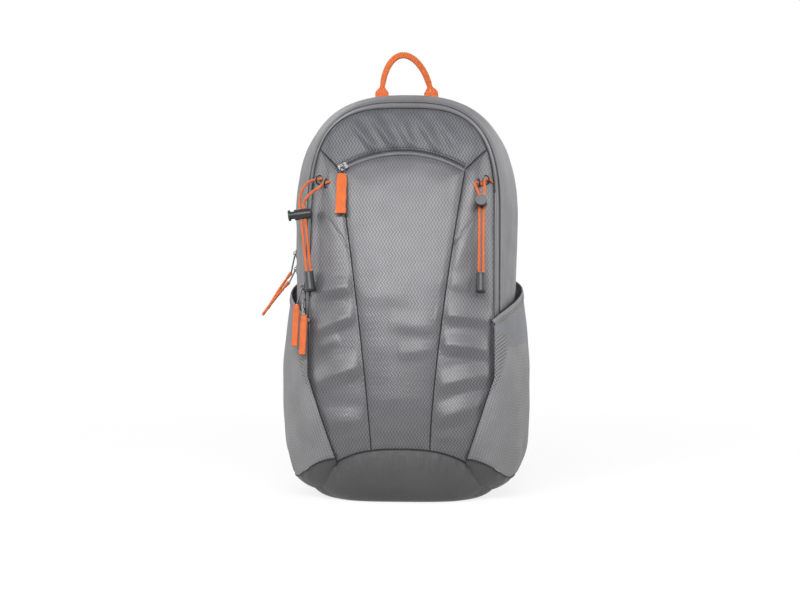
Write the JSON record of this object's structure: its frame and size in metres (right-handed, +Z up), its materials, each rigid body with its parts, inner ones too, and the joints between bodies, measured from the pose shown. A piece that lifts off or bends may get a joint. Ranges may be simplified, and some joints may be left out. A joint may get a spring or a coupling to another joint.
{
  "type": "hiking daypack",
  "caption": "Grey arched daypack with zipped compartments, stretch side pockets, tool keepers on elastic cords, haul loop and padded shoulder straps",
  "frame": {"origin": "on the floor under the pack, on the mid-plane of its front, 75 mm in front of the back panel", "axes": "+Z up, the front faces -Y, +X to the right as seen from the front"},
  "size_m": [0.3249, 0.2372, 0.5311],
  "materials": {
    "shell_cloth": "grey dobby weave with a fine vertical zigzag",
    "base_cloth": "smooth dark grey coated taffeta",
    "back_mesh": "dark spacer mesh",
    "foam": "closed-cell foam sheet",
    "lining": "thin coated lining",
    "zip_chain": "dark moulded coil",
    "slider": "dark lacquered die casting",
    "pull_wire": "bright bent wire",
    "pull_tab": "orange coated webbing, folded and stitched",
    "pocket_knit": "grey ribbed stretch knit",
    "hem_elastic": "grey elastic binding",
    "thread": "black twisted thread loop",
    "elastic_cord": "orange braided elastic",
    "lock_plastic": "dark grey moulded acetal",
    "spring_steel": "plain steel wire",
    "haul_webbing": "orange rolled webbing",
    "strap_cloth": "dark padded cloth",
    "webbing": "black woven webbing"
  },
  "bodies": {
    "bag": {"yoke_panel": "shell_cloth", "front_centre_panel": "shell_cloth", "left_front_panel": "shell_cloth", "right_front_panel": "shell_cloth", "base_panel": "base_cloth", "front_gusset": "shell_cloth", "middle_gusset": "shell_cloth", "rear_gusset": "shell_cloth", "back_panel": "back_mesh", "back_foam": "foam", "back_pads": "back_mesh", "compartment_divider": "lining", "front_pocket_lining": "lining", "main_zip_chain": "zip_chain", "rear_zip_chain": "zip_chain", "front_zip_chain": "zip_chain", "left_side_pocket": "pocket_knit", "right_side_pocket": "pocket_knit", "left_pocket_hem": "hem_elastic", "right_pocket_hem": "hem_elastic", "keeper_loops": "thread", "left_cord_inner": "elastic_cord", "left_cord_outer": "elastic_cord", "right_cord_inner": "elastic_cord", "right_cord_outer": "elastic_cord", "left_cord_end": "lock_plastic", "right_cord_end": "lock_plastic", "left_lower_webbing": "webbing", "right_lower_webbing": "webbing", "strap_anchors": "strap_cloth"},
    "front_slider": {"front_slider": "slider"},
    "front_pull": {"front_pull_wire": "pull_wire", "front_pull_tab": "pull_tab"},
    "main_upper_slider": {"main_upper_slider": "slider"},
    "main_upper_pull": {"main_upper_pull_wire": "pull_wire", "main_upper_pull_tab": "pull_tab"},
    "main_lower_slider": {"main_lower_slider": "slider"},
    "main_lower_pull": {"main_lower_pull_wire": "pull_wire", "main_lower_pull_tab": "pull_tab"},
    "rear_upper_slider": {"rear_upper_slider": "slider"},
    "rear_upper_pull": {"rear_upper_pull_wire": "pull_wire", "rear_upper_pull_tab": "pull_tab"},
    "rear_lower_slider": {"rear_lower_slider": "slider"},
    "rear_lower_pull": {"rear_lower_pull_wire": "pull_wire", "rear_lower_pull_tab": "pull_tab"},
    "left_lock": {"left_lock_barrel": "lock_plastic", "left_lock_spring": "spring_steel"},
    "left_plunger": {"left_lock_plunger": "lock_plastic"},
    "right_lock": {"right_lock_barrel": "lock_plastic", "right_lock_spring": "spring_steel"},
    "right_plunger": {"right_lock_plunger": "lock_plastic"},
    "haul_loop": {"haul_loop": "haul_webbing"},
    "left_strap": {"left_shoulder_strap": "strap_cloth"},
    "right_strap": {"right_shoulder_strap": "strap_cloth"},
    "left_ladder": {"left_ladder_lock": "lock_plastic"},
    "right_ladder": {"right_ladder_lock": "lock_plastic"}
  },
  "joints": [
    {"name": "front_zip_travel", "type": "hinge", "parent": "bag", "child": "front_slider", "pos_m": [0, -0.1053, 0.2825], "axis": [0, 0.9409, -0.3387], "range_deg": [0, 61]},
    {"name": "front_pull_lift", "type": "hinge", "parent": "front_slider", "child": "front_pull", "pos_m": [-0.06927, -0.07006, 0.39235], "axis": [-1, 0, 0], "range_deg": [0, 120]},
    {"name": "main_upper_zip_travel", "type": "slide", "parent": "bag", "child": "main_upper_slider", "axis": [0.003, 0.1961, 0.9806], "range_m": [0, 0.06]},
    {"name": "main_upper_pull_lift", "type": "hinge", "parent": "main_upper_slider", "child": "main_upper_pull", "pos_m": [-0.11755, -0.06712, 0.25027], "axis": [-0.2867, 0.7039, -0.6498], "range_deg": [0, 75]},
    {"name": "main_lower_zip_travel", "type": "slide", "parent": "bag", "child": "main_lower_slider", "axis": [0.003, 0.1961, 0.9806], "range_m": [0, 0.0065]},
    {"name": "main_lower_pull_lift", "type": "hinge", "parent": "main_lower_slider", "child": "main_lower_pull", "pos_m": [-0.11761, -0.07092, 0.23127], "axis": [-0.1866, 0.3553, -0.9159], "range_deg": [0, 8]},
    {"name": "rear_upper_zip_travel", "type": "slide", "parent": "bag", "child": "rear_upper_slider", "axis": [-0.0303, 0.0499, 0.9983], "range_m": [0, 0.035]},
    {"name": "rear_upper_pull_lift", "type": "hinge", "parent": "rear_upper_slider", "child": "rear_upper_pull", "pos_m": [-0.1359, 0.0263, 0.28688], "axis": [-0.01, 0.9987, -0.0502], "range_deg": [0, 70]},
    {"name": "rear_lower_zip_travel", "type": "slide", "parent": "bag", "child": "rear_lower_slider", "axis": [-0.0303, 0.0499, 0.9983], "range_m": [-0.008, 0.005]},
    {"name": "rear_lower_pull_lift", "type": "hinge", "parent": "rear_lower_slider", "child": "rear_lower_pull", "pos_m": [-0.13532, 0.02535, 0.26788], "axis": [-0.01, 0.9987, -0.0502], "range_deg": [0, 70]},
    {"name": "left_lock_travel", "type": "slide", "parent": "bag", "child": "left_lock", "axis": [0.1181, -0.2014, -0.9724], "range_m": [0, 0.05]},
    {"name": "left_plunger_press", "type": "slide", "parent": "left_lock", "child": "left_plunger", "axis": [0.9928, 0.0042, 0.1197], "range_m": [0, 0.004], "stiffness_N_per_m": 300},
    {"name": "right_lock_travel", "type": "slide", "parent": "bag", "child": "right_lock", "axis": [0, -0.1984, -0.9801], "range_m": [0, 0.066]},
    {"name": "right_plunger_press", "type": "slide", "parent": "right_lock", "child": "right_plunger", "axis": [0, 0.9801, -0.1984], "range_m": [0, 0.004], "stiffness_N_per_m": 300},
    {"name": "haul_loop_swing", "type": "hinge", "parent": "bag", "child": "haul_loop", "pos_m": [0, 0.069, 0.4729], "axis": [1, 0, 0], "range_deg": [-60, 60], "stiffness_Nm_per_rad": 0.03},
    {"name": "left_strap_swing", "type": "hinge", "parent": "bag", "child": "left_strap", "pos_m": [0, 0.0754, 0.444], "axis": [1, 0, 0], "range_deg": [0, 12], "deforming": ["left_lower_webbing"]},
    {"name": "left_ladder_lock_swing", "type": "hinge", "parent": "left_strap", "child": "left_ladder", "pos_m": [-0.092, 0.10089, 0.1936], "axis": [1, 0, 0], "range_deg": [0, 40]},
    {"name": "right_strap_swing", "type": "hinge", "parent": "bag", "child": "right_strap", "pos_m": [0, 0.0754, 0.444], "axis": [1, 0, 0], "range_deg": [0, 12], "deforming": ["right_lower_webbing"]},
    {"name": "right_ladder_lock_swing", "type": "hinge", "parent": "right_strap", "child": "right_ladder", "pos_m": [0.092, 0.10089, 0.1936], "axis": [1, 0, 0], "range_deg": [0, 40]}
  ]
}
